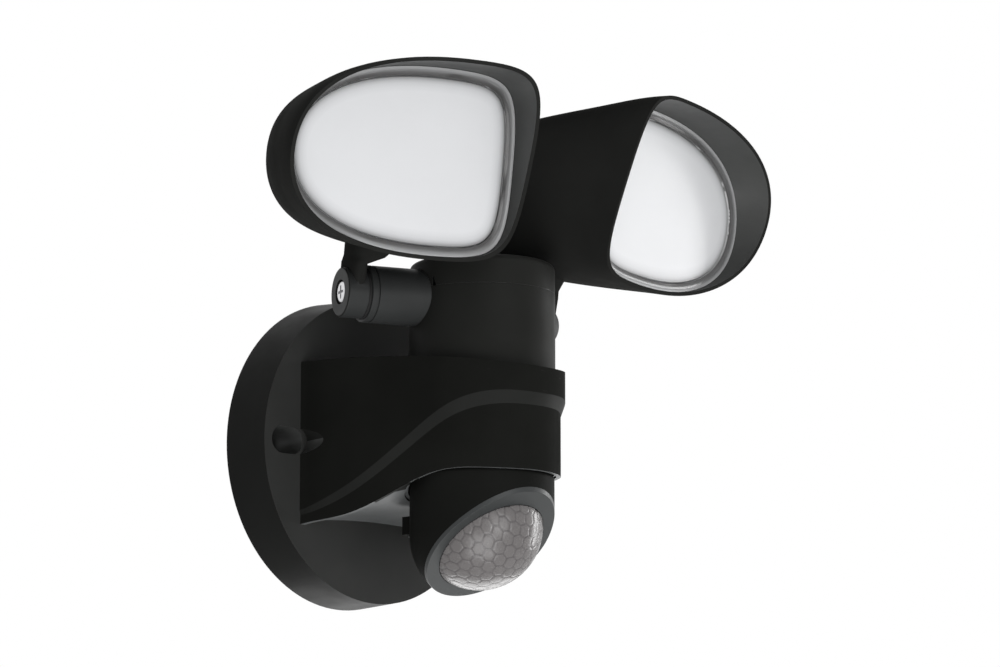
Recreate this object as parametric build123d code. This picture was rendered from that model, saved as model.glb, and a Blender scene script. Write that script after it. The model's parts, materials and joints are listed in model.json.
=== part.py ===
from build123d import *
from math import acos, atan2, comb, cos, hypot, pi, radians, sin
import os

# Motion sensor security light, millimetres. The wall is the plane Y = 0, the lamps look towards -Y,
# +X is to the right of someone who stands behind the light, +Z is up, and the origin is the centre
# of the base's back face.

# ---------------------------------------------------------------- driving dimensions
fit_gap = 0.1               # between pieces that stay put
run_gap = 0.08              # radial gap of a shaft that turns
face_gap = 0.05             # axial gap beside a piece that turns
wall = 2.4                  # moulded walls
pcb = 1.6                   # circuit boards
far = 120.0                 # half size of the blocks that trim

# round wall base
base_back_r = 58.0
base_draft = 1.1            # how much smaller the front face's radius is
base_depth = 19.2
base_wall = 3.0
slot_inset = 12.4           # screw slots' centres, from the back's edge
slot_length = 15.1
slot_width = 10.0
screw_slot_length = 10.0    # narrower slot under the head
screw_slot_width = 5.0
scoop_depth = 3.0           # finger room in the body's side beside each slot
scoop_lean = 10.0           # degrees
scoop_length = 12.0

# body between base and collar
body_half = 38.7            # half width where the lower wall meets the base
body_front_r = 28.6         # round front of the lower wall
band_step = 1.7             # how far the upper band stands proud at the front
band_step_base = 0.4        # and at the base
body_top = (29.6, 29.5, 27.0, 22.9)             # control heights from the base to the front
relief_top = (-25.2, -19.8, -9.0, 15.4, 13.3)
relief_foot = (-27.0, -24.2, -13.1, 9.2, 8.9)
body_foot = (-30.4, -26.8, -35.0, -6.2, -15.6, -14.4)
floor_recess = 1.2          # underside set up from the lower edge
floor_arch = 2.6            # how much the underside rises between the side walls

# collar, cap and arms
collar_y = -74.1
collar_r = 26.7
collar_seam_z = 52.6
cap_top_z = 63.6
cap_round = 2.2
arm_z = 49.8
arm_sweep = 22.0            # degrees back from X
arm_r = 10.4
arm_bore_r = 7.6
arm_end = 48.0              # hinge face, from the collar axis
arm_ring = 2.2              # width of the end ring
arm_ring_groove = 0.6
arm_flange_r = 12.4
arm_flange = 2.2

# hinge
washer = 0.8
knuckle_r = 9.05
knuckle_length = 7.0
knuckle_nose = 1.0
nose_round = 0.8
pivot_shank_r = 2.5
pivot_head_r = 4.2
head_gap = 0.3              # round the screw's head
bore_reach = 20.0           # how far the hinge's bores are cut past the knuckle
pivot_head = 2.4
pivot_recess = 0.3          # head's top below the knuckle's nose
pivot_grip = 9.0            # screw length inside the arm

# lamp head, measured from its lens plane: e outwards, depth forwards, height up
head_yaw = 12.2             # degrees, built into the neck
head_tilt_left = -12.1      # degrees, as the lamp stands at rest
head_tilt_right = -6.6
lens_out = -0.275           # lens centre from the hinge centre
lens_forward = 47.232
lens_up = 48.7
head_depth = 62.8           # from the lens plane to the back
head_outer = 64.5           # from the lens centre to the rounded end
head_inner = 33.8           # to the flat side by the collar
head_half_height = 34.45
head_drop = 2.8             # how far the back sits lower
outer_taper = 0.40
height_taper = 0.236
inner_flare = 0.10
round_fullness = 0.632      # outline: rounded end
flat_fullness = 0.919       # outline: flat side with round corners
neck_fullness = 0.75
hood_reach = 26.0           # hood before its rim is cut
hood_rim = 7.0              # rim in front of the lens plane
hood_slope = 0.228          # rim runs forward towards the top
hood_bow = 0.0012
rim_margin = 20.0           # how far the rim's cutter reaches past the head's sides
hood_wall = 1.5

# lamp inside
lens_border = 3.2
lens_frame_depth = 2.8
lens_recess = 1.6
diffuser_flange = 2.0
gasket = 1.2
ledge = 2.0
ledge_width = 4.4
plate_depth = 16.0          # heat plate's back from the lens plane
plate_thick = 2.0
led_size = 3.0
led_height = 0.8
led_pitch = 11.0
plate_screw_r = 1.5

# detector
sensor_r = 26.3
sensor_top_z = -13.6
sensor_round_z = -35.4      # centre of the half-round end
face_y = -4.75              # centre of the slanted face, from the turning axis
face_z = -39.75
face_down = 50.6            # degrees below level that the face looks
pocket_gap = 0.6
neck_r = 11.0
neck_bore_r = 8.0
neck_bore_depth = 12.0      # cut down from the detector's top
nut_r = 15.0
nut_height = 3.0
bezel_thick = 1.4
dome_r = 23.1
dome_base_r = 21.0
dome_wall = 1.2
sensor_board_depth = 8.0
sensor_board_r = 19.0
element_r = 4.6
element_height = 4.2
pod_half = 9.7              # adjuster pod behind the detector
pod_back = 32.2             # from the turning axis
pod_top_z = -27.2
pod_foot_z = -33.8
dial_r = 2.4
dial_pitch = 6.2
dial_height = 2.2
dial_proud = 0.7
dial_slot = 0.8

# back of the light
cover_set_in = 2.0          # cover's outer face from the wall
cover_thick = 2.0
seal_width = 3.4
cover_screw_inset = 11.0    # from the back's edge
cover_screw_r = 1.75
cover_screw_head_r = 3.2
cover_screw_length = 9.0
inlet_r = 7.0
inlet_z = -14.0
cord_r = 3.6
grommet_lip = 1.6
driver_y = -27.0
driver_width = 54.0
driver_height = 32.0
driver_z = 3.0
driver_post_r = 2.6
driver_margin = 7.0         # from the board's edge to what stands on it
transformer = (18.0, 14.0, 16.0)        # wide, deep, high
relay = (15.0, 11.0, 12.0)
capacitor_r = 3.5
capacitor_height = 12.0
terminal_width = 30.0
terminal_height = 11.0
terminal_depth = 9.0
terminal_z = -38.0
terminal_ways = 3
terminal_screw_r = 1.9


# ---------------------------------------------------------------- small helpers
def bezier_value(values, t):
    n = len(values) - 1
    return sum(comb(n, i) * t**i * (1 - t) ** (n - i) * v for i, v in enumerate(values))


front_y = collar_y - body_front_r - band_step
slot_x = base_back_r - slot_inset


def depth_share(y):
    """0 at the base's front face, 1 at the foremost point of the body"""
    share = (y + base_depth) / (front_y + base_depth)
    return min(max(share, 0.0), 1.0)


def edge_height(values, y):
    return bezier_value(values, depth_share(y))


def edge_curve(values, lift=0.0, x=0.0):
    """side-view edge of the body as a curve in the plane X = x"""
    n = len(values) - 1
    span = front_y + base_depth
    return Bezier(*[(x, -base_depth + span * i / n, v + lift) for i, v in enumerate(values)])


def tangent_angle(radius, half):
    """angle about the collar axis where the straight left side runs into the round front"""
    dx, dy = -half, -base_depth - collar_y
    return atan2(dy, dx) + acos(radius / hypot(dx, dy))


def plan_point(t, radius, half):
    """point on the U-shaped plan of the body, t from 0 at the left rear to 1 at the right rear"""
    start = tangent_angle(radius, half)
    tx, ty = radius * cos(start), collar_y + radius * sin(start)
    straight = hypot(tx + half, ty + base_depth)
    arc = radius * (3 * pi - 2 * start)
    run = t * (2 * straight + arc)
    if run < straight:
        k = run / straight
        return -half + k * (tx + half), -base_depth + k * (ty + base_depth)
    if run > straight + arc:
        k = (run - straight - arc) / straight
        return -tx + k * (half + tx), ty - k * (ty + base_depth)
    angle = start + (run - straight) / radius
    return radius * cos(angle), collar_y + radius * sin(angle)


def plan_face(radius, half):
    """the body's plan, closed along the base"""
    start = tangent_angle(radius, half)
    tx, ty = radius * cos(start), collar_y + radius * sin(start)
    left = Line((-half, -base_depth + 1), (-half, -base_depth))
    side = Line((-half, -base_depth), (tx, ty))
    nose = ThreePointArc((tx, ty), (0, collar_y - radius), (-tx, ty))
    other = Line((-tx, ty), (half, -base_depth))
    right = Line((half, -base_depth), (half, -base_depth + 1))
    back = Line((half, -base_depth + 1), (-half, -base_depth + 1))
    return make_face([left, side, nose, other, right, back])


def disc_y(radius, y_back, y_front, x=0.0, z=0.0):
    """round bar along Y from y_back towards the front"""
    plane = Plane(origin=(x, y_back, z), x_dir=(1, 0, 0), z_dir=(0, -1, 0))
    return plane * extrude(Circle(radius), amount=y_back - y_front)


def disc_z(radius, low, high, x=0.0, y=0.0):
    return Pos(x, y, low) * extrude(Circle(radius), amount=high - low)


def ring_z(outer, inner, low, high):
    return Pos(0, 0, low) * extrude(Circle(outer) - Circle(inner), amount=high - low)


def disc_x(radius, low, high):
    plane = Plane(origin=(low, 0, 0), x_dir=(0, 1, 0), z_dir=(1, 0, 0))
    return plane * extrude(Circle(radius), amount=high - low)


def block(x, y, z):
    """box from three (low, high) pairs"""
    centre = Pos((x[0] + x[1]) / 2, (y[0] + y[1]) / 2, (z[0] + z[1]) / 2)
    return centre * Box(x[1] - x[0], y[1] - y[0], z[1] - z[0])


def slot_y(x, length, width, y_back, y_front):
    plane = Plane(origin=(x, y_back, 0), x_dir=(1, 0, 0), z_dir=(0, -1, 0))
    return plane * extrude(SlotOverall(length, width), amount=y_back - y_front)


def spaced(count, pitch):
    return [(i - (count - 1) / 2) * pitch for i in range(count)]


# ---------------------------------------------------------------- base, body and collar
def body_wall():
    """wall swept round the plan, with the flowing step between the upper band and the lower wall"""
    stations = [i / 20 for i in range(21)]
    sections = []
    for t in stations:
        ux, uy = plan_point(t, body_front_r + band_step, body_half + band_step_base)
        lx, ly = plan_point(t, body_front_r, body_half)
        ix, iy = plan_point(t, body_front_r - wall, body_half - wall)
        top = edge_height(body_top, uy)
        foot = edge_height(body_foot, uy)
        corners = [
            (ux, uy, top),
            (ux, uy, edge_height(relief_top, uy)),
            (lx, ly, edge_height(relief_foot, uy)),
            (lx, ly, foot),
            (ix, iy, foot),
            (ix, iy, top),
        ]
        sections.append(Wire.make_polygon([Vector(*c) for c in corners], close=True))
    return Solid.make_loft(sections)


def body_core():
    """the body's plan out to the middle of its wall, as a tall block"""
    face = plan_face(body_front_r - wall / 2, body_half - wall / 2)
    return Pos(0, 0, -far / 2) * extrude(face, amount=far)


def body_roof():
    upper = edge_curve(body_top)
    lower = edge_curve(body_top, -wall)
    ends = [Line(upper @ 0, lower @ 0), Line(upper @ 1, lower @ 1)]
    band = extrude(make_face([upper, lower] + ends), amount=body_half + wall, both=True)
    return body_core() & band


def body_floor():
    """arched underside, set up inside the lower edge, with a round pocket for the detector"""
    sections = []
    for x, rise in ((-body_half, 0.0), (0.0, floor_arch), (body_half, 0.0)):
        lower = edge_curve(body_foot, floor_recess + rise, x)
        upper = edge_curve(body_foot, floor_recess + rise + wall, x)
        loop = [lower, Line(lower @ 1, upper @ 1), upper, Line(upper @ 0, lower @ 0)]
        sections.append(Wire(loop))
    return body_core() & Solid.make_loft(sections)


def detector_pocket():
    """cup in the underside that the detector turns in: its roof carries the neck"""
    roof_z = sensor_top_z + face_gap
    cup = disc_z(sensor_r + pocket_gap + wall, -far / 2, roof_z + wall, 0, collar_y)
    bore = disc_z(sensor_r + pocket_gap, -far, roof_z, 0, collar_y)
    return cup, bore


def below_foot():
    """everything under the middle of the underside's thickness, to trim the pocket's cup"""
    sections = []
    for x, rise in ((-body_half - 8, 0.0), (0.0, floor_arch), (body_half + 8, 0.0)):
        edge = edge_curve(body_foot, floor_recess + rise + wall / 4, x)
        front, back = edge @ 1, edge @ 0
        ahead, behind = front.Y - base_depth, back.Y + base_depth
        loop = [
            edge,
            Line(front, (x, ahead, front.Z)),
            Line((x, ahead, front.Z), (x, ahead, -far)),
            Line((x, ahead, -far), (x, behind, -far)),
            Line((x, behind, -far), (x, behind, back.Z)),
            Line((x, behind, back.Z), back),
        ]
        sections.append(Wire(loop))
    return Solid.make_loft(sections)


def arm_place(side):
    """frame at the collar axis: x along the arm, y forwards, z up"""
    sweep = radians(arm_sweep)
    direction = (side * cos(sweep), sin(sweep), 0)
    return Plane(origin=(0, collar_y, arm_z), x_dir=direction, z_dir=(0, 0, 1))


def scoop(side, radius, start_y):
    """round channel beside a screw slot, deepest at the base and running out along the body's side"""
    lean = radians(scoop_lean)
    start = (side * (body_half - scoop_depth + slot_width / 2), -base_depth, 0)
    along = Plane(origin=start, x_dir=(0, 0, 1), z_dir=(side * sin(lean), -cos(lean), 0))
    bar = along * extrude(Circle(radius), amount=scoop_length, both=True)
    return bar & block((-far, far), (-far, start_y), (-far, far))


def screw_slots():
    """screw slots with room for the driver, one each side"""
    cuts = []
    for side in (-1, 1):
        x = side * slot_x
        cuts.append(slot_y(x, slot_length, slot_width, -base_wall, -base_depth - 1))
        cuts.append(slot_y(x, screw_slot_length, screw_slot_width, 1, -base_wall - 1))
        cuts.append(scoop(side, slot_width / 2, -base_depth))
    return cuts


def base_housing():
    cone = Cone(base_back_r, base_back_r - base_draft, base_depth)
    dish = Plane(origin=(0, -base_depth / 2, 0), x_dir=(1, 0, 0), z_dir=(0, -1, 0)) * cone
    hollow = disc_y(base_back_r - base_wall, 1, -base_depth + base_wall)
    posts = [
        slot_y(s * slot_x, slot_length + 2 * wall, slot_width + 2 * wall, 0, -base_depth + 1) for s in (-1, 1)
    ]
    bosses = []
    for x, z in cover_screw_places():
        bosses.append(disc_y(cover_screw_head_r + 1, -cover_back_y(), -base_depth + 1, x, z))
    floor = body_floor() - disc_z(sensor_r + pocket_gap + wall / 2, -far, far, 0, collar_y)
    body = body_wall() + body_roof() + floor
    cup, bore = detector_pocket()
    cup = (cup - below_foot()) & body_core()
    tube = disc_z(collar_r, edge_height(body_top, collar_y) - 4, collar_seam_z, 0, collar_y)
    backing = [scoop(side, slot_width / 2 + wall, -base_depth + 1) for side in (-1, 1)]
    half = body_half - 2 * wall
    foot, top = edge_height(body_foot, -base_depth), edge_height(body_top, -base_depth)
    floor_y = -base_depth + base_wall + 1
    opening = block((-half, half), (-base_depth - 1, floor_y), (foot + 3 * wall, top - wall - 1))
    shell = dish - hollow
    for post in posts + bosses:
        shell = shell + post
    shell = shell - opening
    shell = shell + body + cup
    for pad in backing:
        shell = shell + (pad & body_core())
    shell = shell + tube
    shell = shell - disc_z(collar_r - wall, 8, collar_seam_z + 1, 0, collar_y)
    shell = shell - bore
    shell = shell - disc_z(neck_r + run_gap, sensor_top_z - 1, sensor_top_z + wall + 2, 0, collar_y)
    for cut in screw_slots():
        shell = shell - cut
    for side in (-1, 1):
        shell = shell - arm_place(side) * disc_x(arm_r + fit_gap, collar_r - 12, collar_r + 12)
    for x, z in cover_screw_places():
        shell = shell - disc_y(cover_screw_r, 1, -cover_back_y() - cover_screw_length, x, z)
    return shell


def collar_cap():
    """shallow round cap with a skirt that drops into the collar"""
    outer = disc_z(collar_r - fit_gap, collar_seam_z + fit_gap, cap_top_z)
    outer = fillet(outer.edges().group_by(Axis.Z)[-1], cap_round)
    skirt = ring_z(collar_r - wall - fit_gap, collar_r - 2 * wall, collar_seam_z - 4, collar_seam_z + 2)
    cap = outer - disc_z(collar_r - 2 * wall, collar_seam_z - 1, cap_top_z - wall) + skirt
    cap = Pos(0, collar_y, 0) * cap
    for side in (-1, 1):
        notch = disc_x(arm_flange_r + fit_gap, 4, collar_r - wall)
        cap = cap - arm_place(side) * (disc_x(arm_r + fit_gap, 4, collar_r + 12) + notch)
    return cap


# ---------------------------------------------------------------- arms and hinges
def flange_face():
    """where the arm's inner flange meets the round inside of the collar"""
    inside = collar_r - wall - fit_gap
    return (inside**2 - arm_flange_r**2) ** 0.5


def arm():
    """tube with an end ring outside and a flange inside the collar, along x"""
    ring_start = arm_end - washer - arm_ring
    length_end = arm_end - washer
    tube = disc_x(arm_r, flange_face() - arm_flange, length_end)
    groove = disc_x(arm_r + 1, ring_start - arm_ring_groove, ring_start)
    groove = groove - disc_x(arm_r - arm_ring_groove, ring_start - 1, ring_start + 1)
    tube = tube - groove + disc_x(arm_flange_r, flange_face() - arm_flange, flange_face())
    tube = tube - disc_x(arm_bore_r, 0, length_end - wall)
    boss = disc_x(pivot_shank_r + wall, length_end - pivot_grip - 1, length_end - wall / 2)
    return tube + boss - disc_x(pivot_shank_r, 0, length_end + 1)


def friction_washer():
    hole = disc_x(pivot_shank_r + fit_gap, arm_end - 2 * washer, arm_end + 1)
    return disc_x(arm_r - 1, arm_end - washer, arm_end) - hole


def nose_end():
    return arm_end + knuckle_length + knuckle_nose


def pivot_seat():
    return nose_end() - pivot_head - pivot_recess


def pivot_screw():
    """round-head screw with a cross recess"""
    seat = pivot_seat() + face_gap
    head = disc_x(pivot_head_r, seat, seat + pivot_head)
    head = fillet(head.edges().group_by(Axis.X)[-1], 1.2)
    shank = disc_x(pivot_shank_r, arm_end - washer - pivot_grip, seat + 1)
    cross = [block((seat + pivot_head - 1.2, seat + 9), (-w, w), (-h, h)) for w, h in ((0.5, 2.4), (2.4, 0.5))]
    return head + shank - cross[0] - cross[1]


# ---------------------------------------------------------------- lamp head
def head_size(depth, inset):
    """outer end, inner side, half height and centre height of the head's section at a depth"""
    s = max(-depth / head_depth, 0.0)
    ahead = max(depth, 0.0)
    close = (1 - s**6.66) ** 0.15
    outer = head_outer * (1 - outer_taper * s) * (1 - s**4) ** 0.25 + 0.3 * ahead
    inner = head_inner * (1 + inner_flare * s) * close - 0.06 * ahead
    half = head_half_height * (1 - height_taper * s) * close + 0.12 * ahead
    return outer - inset, inner - inset, half - inset, -head_drop * s


def quarters(x_low, x_mid, x_high, y_low, y_high, low_full, high_full, place):
    """closed outline of four quarter curves: each fullness is 0.55 for an ellipse and 1 for a square"""
    y_mid = (y_low + y_high) / 2
    corners = [
        ((x_high, y_mid), (x_mid, y_high), high_full, True),
        ((x_mid, y_high), (x_low, y_mid), low_full, False),
        ((x_low, y_mid), (x_mid, y_low), low_full, True),
        ((x_mid, y_low), (x_high, y_mid), high_full, False),
    ]
    edges = []
    for (ax, ay), (bx, by), full, upright in corners:
        if upright:
            c1, c2 = (ax, ay + full * (by - ay)), (bx + full * (ax - bx), by)
        else:
            c1, c2 = (ax + full * (bx - ax), ay), (bx, by + full * (ay - by))
        edges.append(Bezier(*[place(*p) for p in ((ax, ay), c1, c2, (bx, by))]))
    return Wire(edges)


def head_outline(depth, inset):
    """closed outline of the head at a depth, round outwards and blunt on the collar side"""
    outer, inner, half, middle = head_size(depth, inset)
    return quarters(-inner, 0, outer, middle - half, middle + half, flat_fullness, round_fullness,
                    lambda x, z: (x, depth, z))


def head_form(depths, inset):
    return Solid.make_loft([head_outline(d, inset) for d in depths])


def head_ring(front, back, outer_inset, inner_inset):
    """band between two insets, from a front depth to a back depth"""
    whole = head_form([front, (front + back) / 2, back], outer_inset)
    hole = head_form([front + 1, (front + back) / 2, back - 1], inner_inset)
    return whole - hole


def lens_to_hinge(part):
    """from the lens's own frame to the hinge frame"""
    return Rot(0, 0, head_yaw) * Pos(lens_out, lens_forward, lens_up) * part


def oval(z, x_low, x_high, y_low, y_high):
    return quarters(x_low, (x_low + x_high) / 2, x_high, y_low, y_high, neck_fullness, neck_fullness,
                    lambda x, y: (x, y, z))


def neck():
    """neck from the knuckle into the underside of the head, flared towards the collar, hinge frame"""
    half = knuckle_length / 2
    under = lens_up - head_half_height * (1 - height_taper) - head_drop
    return Solid.make_loft([
        oval(1.0, -half + 0.3, half - 0.3, -8.2, 8.2),
        oval(arm_r + 0.5, -half + 0.3, half - 0.4, -8.6, 8.8),
        oval(under - 6, -half - 6.5, half - 0.6, -8.8, 9.6),
        oval(under, -half - 12.0, half - 0.2, -9.4, 13.0),
        oval(under + 5, -half - 15.5, half + 1.5, -9.4, 16.5),
    ], ruled=True)


def rim_cutter():
    """space in front of the hood's rim: bowed across, sloping forward to the top"""
    low, high = -head_inner - rim_margin, head_outer + rim_margin
    xs = [low + (high - low) * i / 8 for i in range(9)]
    rim = Spline(*[(x, hood_rim - 0.031 * x + hood_bow * x * x, 0) for x in xs])
    start, end = rim @ 0, rim @ 1
    outline = [
        rim,
        Line(end, (high, far, 0)),
        Line((high, far, 0), (low, far, 0)),
        Line((low, far, 0), start),
    ]
    lean = Vector(0, hood_slope, 1)
    start_face = Pos(*(lean * (-far / 2))) * make_face(outline)
    return extrude(start_face, amount=far * lean.length, dir=lean.normalized())


def head_cavities():
    """the hollow of the head, front to back, stepped in at the two ledges"""
    seat = lens_frame_depth + diffuser_flange + gasket
    narrow = hood_wall + ledge_width
    back = [-(head_depth - wall) * s for s in (0.5, 0.7, 0.83, 0.92)]
    return [
        head_form([hood_reach + 2, 12, 0, -seat], hood_wall),
        head_form([-seat, -seat - ledge], narrow),
        head_form([-seat - ledge, -plate_depth], hood_wall),
        head_form([-plate_depth, -plate_depth - ledge], narrow + 4),
        head_form([-plate_depth - ledge] + back, hood_wall),
    ]


def knuckle():
    half = knuckle_length / 2
    form = disc_x(knuckle_r, -half, half + knuckle_nose)
    return fillet(form.edges().group_by(Axis.X)[-1], nose_round)


def head_shell():
    back = [-head_depth * s for s in (0.3, 0.55, 0.75, 0.88, 0.95, 0.985)]
    shell = lens_to_hinge(head_form([hood_reach, 12, 0] + back, 0)) + neck() + knuckle()
    for hollow in head_cavities():
        shell = shell - lens_to_hinge(hollow)
    shell = shell - lens_to_hinge(rim_cutter())
    for x, z in plate_screw_places():
        shell = shell - lens_to_hinge(disc_y(plate_screw_r, -plate_depth + 1, -plate_depth - ledge - 1, x, z))
    half = knuckle_length / 2
    shell = shell - disc_x(pivot_shank_r + run_gap, -half - bore_reach, half + bore_reach)
    return shell - disc_x(pivot_head_r + head_gap, pivot_seat() - arm_end - half, half + bore_reach)


def lens_frame():
    return head_ring(0, -lens_frame_depth, hood_wall + fit_gap, hood_wall + lens_border)


def diffuser():
    back = -lens_frame_depth - diffuser_flange
    flange = head_form([-lens_frame_depth, back], hood_wall + 2 * fit_gap)
    raised = head_form([-lens_recess, -lens_frame_depth - 0.5], hood_wall + lens_border + fit_gap)
    hollow = head_form([-lens_frame_depth, back - 1], hood_wall + lens_border + 1.6)
    return flange + raised - hollow


def lens_gasket():
    front = -lens_frame_depth - diffuser_flange
    return head_ring(front, front - gasket, hood_wall + 2 * fit_gap, hood_wall + ledge_width - 0.4)


def plate_inset():
    return hood_wall + ledge_width + 0.8


def heat_plate():
    plate = head_form([-plate_depth + plate_thick, -plate_depth], plate_inset())
    for x, z in plate_screw_places():
        plate = plate - disc_y(plate_screw_r, 0, -2 * plate_depth, x, z)
    return plate


def plate_screw_places():
    """three points on the plate's border, from its own outline"""
    outer, inner, half, middle = head_size(-plate_depth, plate_inset() + 2.6)
    high = 0.62 * half
    return [(outer, middle), (-inner, middle + high), (-inner, middle - high)]


def plate_screws():
    front = -plate_depth + plate_thick
    screws = []
    for x, z in plate_screw_places():
        screws.append(disc_y(2 * plate_screw_r, front + 1.6, front, x, z)
                      + disc_y(plate_screw_r, front, -plate_depth - ledge, x, z))
    return screws


def led_board():
    """board with rows of square emitters"""
    front = -plate_depth + plate_thick + pcb
    inset = plate_inset() + 8.0
    board = head_form([front, front - pcb], inset)
    outer, inner, half, middle = head_size(front, inset)
    columns = spaced(int((outer + inner - 12) // led_pitch), led_pitch)
    for x in columns:
        for z in spaced(3, led_pitch):
            place = Pos(x + (outer - inner) / 2 - 4, front + led_height / 2, z + middle)
            board = board + place * Box(led_size, led_height, led_size)
    return board


# ---------------------------------------------------------------- detector
def face_plane(depth=0.0):
    """the detector's slanted face, or a plane behind it"""
    a = radians(face_down)
    normal = Vector(0, -cos(a), -sin(a))
    origin = Vector(0, face_y, face_z) - normal * depth
    return Plane(origin=origin, x_dir=(1, 0, 0), z_dir=normal)


def ahead_of_face(depth=0.0):
    return face_plane(depth) * Pos(0, 0, far / 2) * Box(2 * far, 2 * far, far)


def detector_form(radius, top):
    """upright cylinder with a half-round end, about the turning axis"""
    bend = radius * 0.5**0.5
    profile = [
        Line((0, 0, sensor_round_z - radius), (0, 0, top)),
        Line((0, 0, top), (radius, 0, top)),
        Line((radius, 0, top), (radius, 0, sensor_round_z)),
        ThreePointArc((radius, 0, sensor_round_z), (bend, 0, sensor_round_z - bend), (0, 0, sensor_round_z - radius)),
    ]
    return revolve(make_face(profile), axis=Axis.Z)


def dial_places():
    return [(x, (pod_back + (sensor_r**2 - pod_half**2) ** 0.5) / 2) for x in spaced(3, dial_pitch)]


def sensor_housing():
    """elbow with its neck above and the adjuster pod behind"""
    shell = detector_form(sensor_r, sensor_top_z)
    shell = fillet(shell.edges().group_by(Axis.Z)[-1], 2.0)
    pod = block((-pod_half, pod_half), (sensor_r - 9, pod_back), (pod_foot_z, pod_top_z))
    pod = fillet(pod.edges().filter_by(Axis.Z), 1.5)
    shell = shell + pod
    shell = shell - ahead_of_face(bezel_thick)
    room = ahead_of_face(sensor_board_depth + pcb + 5 * wall)
    shell = shell - (detector_form(sensor_r - wall, sensor_top_z - wall) & room)
    neck_tube = disc_z(neck_r, sensor_top_z - 1, sensor_top_z + 2 * wall + nut_height + 1)
    shell = shell + neck_tube - disc_z(neck_bore_r, sensor_top_z - neck_bore_depth, far)
    ledge_band = face_plane(sensor_board_depth + pcb) * Pos(0, 0, -ledge / 2) * Box(far, far, ledge)
    ledge_ring = ledge_band & detector_form(sensor_r - wall / 2, sensor_top_z - wall)
    hole = face_plane(0) * Cylinder(sensor_board_r - ledge, far)
    shell = shell + (ledge_ring - hole)
    for x, y in dial_places():
        shell = shell - disc_z(dial_r + run_gap, pod_foot_z - 1, pod_foot_z + dial_height, x, y)
    return Pos(0, collar_y, 0) * shell


def sensor_bezel():
    """ring cut on the slant from the same round form"""
    plate = detector_form(sensor_r, sensor_top_z) & ahead_of_face(bezel_thick)
    plate = plate - ahead_of_face(0)
    hole = face_plane(0) * Cylinder(dome_base_r + fit_gap, far)
    return Pos(0, collar_y, 0) * (plate - hole)


def sensor_dome():
    """part of a thin ball, with a flange behind the bezel"""
    drop = (dome_r**2 - dome_base_r**2) ** 0.5
    centre = face_plane(drop)
    inner_r = dome_r - dome_wall
    ball = centre * (Sphere(dome_r) - Sphere(inner_r))
    cap = ball & ahead_of_face(bezel_thick)
    keep = face_plane(0) * Cylinder(dome_base_r, far)
    flange_r = dome_base_r + 1.2
    flange_plane = face_plane(bezel_thick)
    flange = flange_plane * extrude(Circle(flange_r) - Circle(dome_base_r - 2.2), amount=-1.2)
    return Pos(0, collar_y, 0) * ((cap & keep) + flange)


def sensor_board():
    board = face_plane(sensor_board_depth + pcb) * extrude(Circle(sensor_board_r), amount=pcb)
    return Pos(0, collar_y, 0) * board


def sensor_element():
    """round metal can with a square window"""
    can = extrude(Circle(element_r), amount=element_height)
    can = can - Pos(0, 0, element_height) * Box(4, 3, 0.8)
    return Pos(0, collar_y, 0) * (face_plane(sensor_board_depth) * can)


def sensor_nut():
    """ring on the neck, above the pocket's roof"""
    low = sensor_top_z + face_gap + wall + face_gap
    ring = Pos(0, 0, low) * extrude(RegularPolygon(nut_r, 8) - Circle(neck_r), amount=nut_height)
    return Pos(0, collar_y, 0) * ring


def dial(x, y):
    """adjuster with a slot for a screwdriver"""
    top = pod_foot_z + dial_height - face_gap
    body = disc_z(dial_r, pod_foot_z - dial_proud, top, x, collar_y + y)
    slot = Box(dial_slot, 3 * dial_r, dial_height - dial_slot / 2)
    return body - Pos(x, collar_y + y, pod_foot_z - dial_proud) * slot


# ---------------------------------------------------------------- back of the light
def cover_back_y():
    return cover_set_in + cover_thick


def cover_r():
    return base_back_r - base_wall - fit_gap


def cover_screw_places():
    across = (base_back_r - cover_screw_inset) * cos(radians(45))
    return [(sx * across, sz * across) for sx in (-1, 1) for sz in (-1, 1)]


def driver_post_places():
    across = driver_width / 2 - 5
    up = driver_height / 2 - 5
    return [(sx * across, driver_z + sz * up) for sx in (-1, 1) for sz in (-1, 1)]


def slot_room(side):
    """space round the post that a screw slot runs through"""
    margin = 2 * wall + 2 * fit_gap
    return slot_y(side * slot_x, slot_length + margin, slot_width + margin, 1, -base_depth)


def rear_cover():
    """cover behind the electronics, with posts for the driver board"""
    plate = disc_y(cover_r(), -cover_set_in, -cover_back_y())
    half = slot_width / 2 + wall + fit_gap
    for side in (-1, 1):
        plate = plate - slot_room(side)
        plate = plate - block(sorted((side * slot_x, side * far)), (-base_depth, 1), (-half, half))
    for x, z in driver_post_places():
        plate = plate + disc_y(driver_post_r, -cover_back_y(), driver_y, x, z)
    for x, z in cover_screw_places():
        plate = plate - disc_y(cover_screw_r, 1, -base_depth, x, z)
    return plate - disc_y(inlet_r, 1, -base_depth, 0, inlet_z)


def cover_screws():
    screws = []
    for x, z in cover_screw_places():
        head = disc_y(cover_screw_head_r, -cover_set_in + 1.6, -cover_set_in, x, z)
        shank = disc_y(cover_screw_r, -cover_set_in, -cover_back_y() - cover_screw_length, x, z)
        screws.append(head + shank)
    return screws


def wall_gasket():
    """foam ring between the cover's rim and the wall"""
    outer = base_back_r - base_wall - fit_gap
    ring = disc_y(outer, 0, -cover_set_in) - disc_y(outer - seal_width, 1, -cover_set_in - 1)
    for side in (-1, 1):
        ring = ring - slot_room(side)
    return ring


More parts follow.
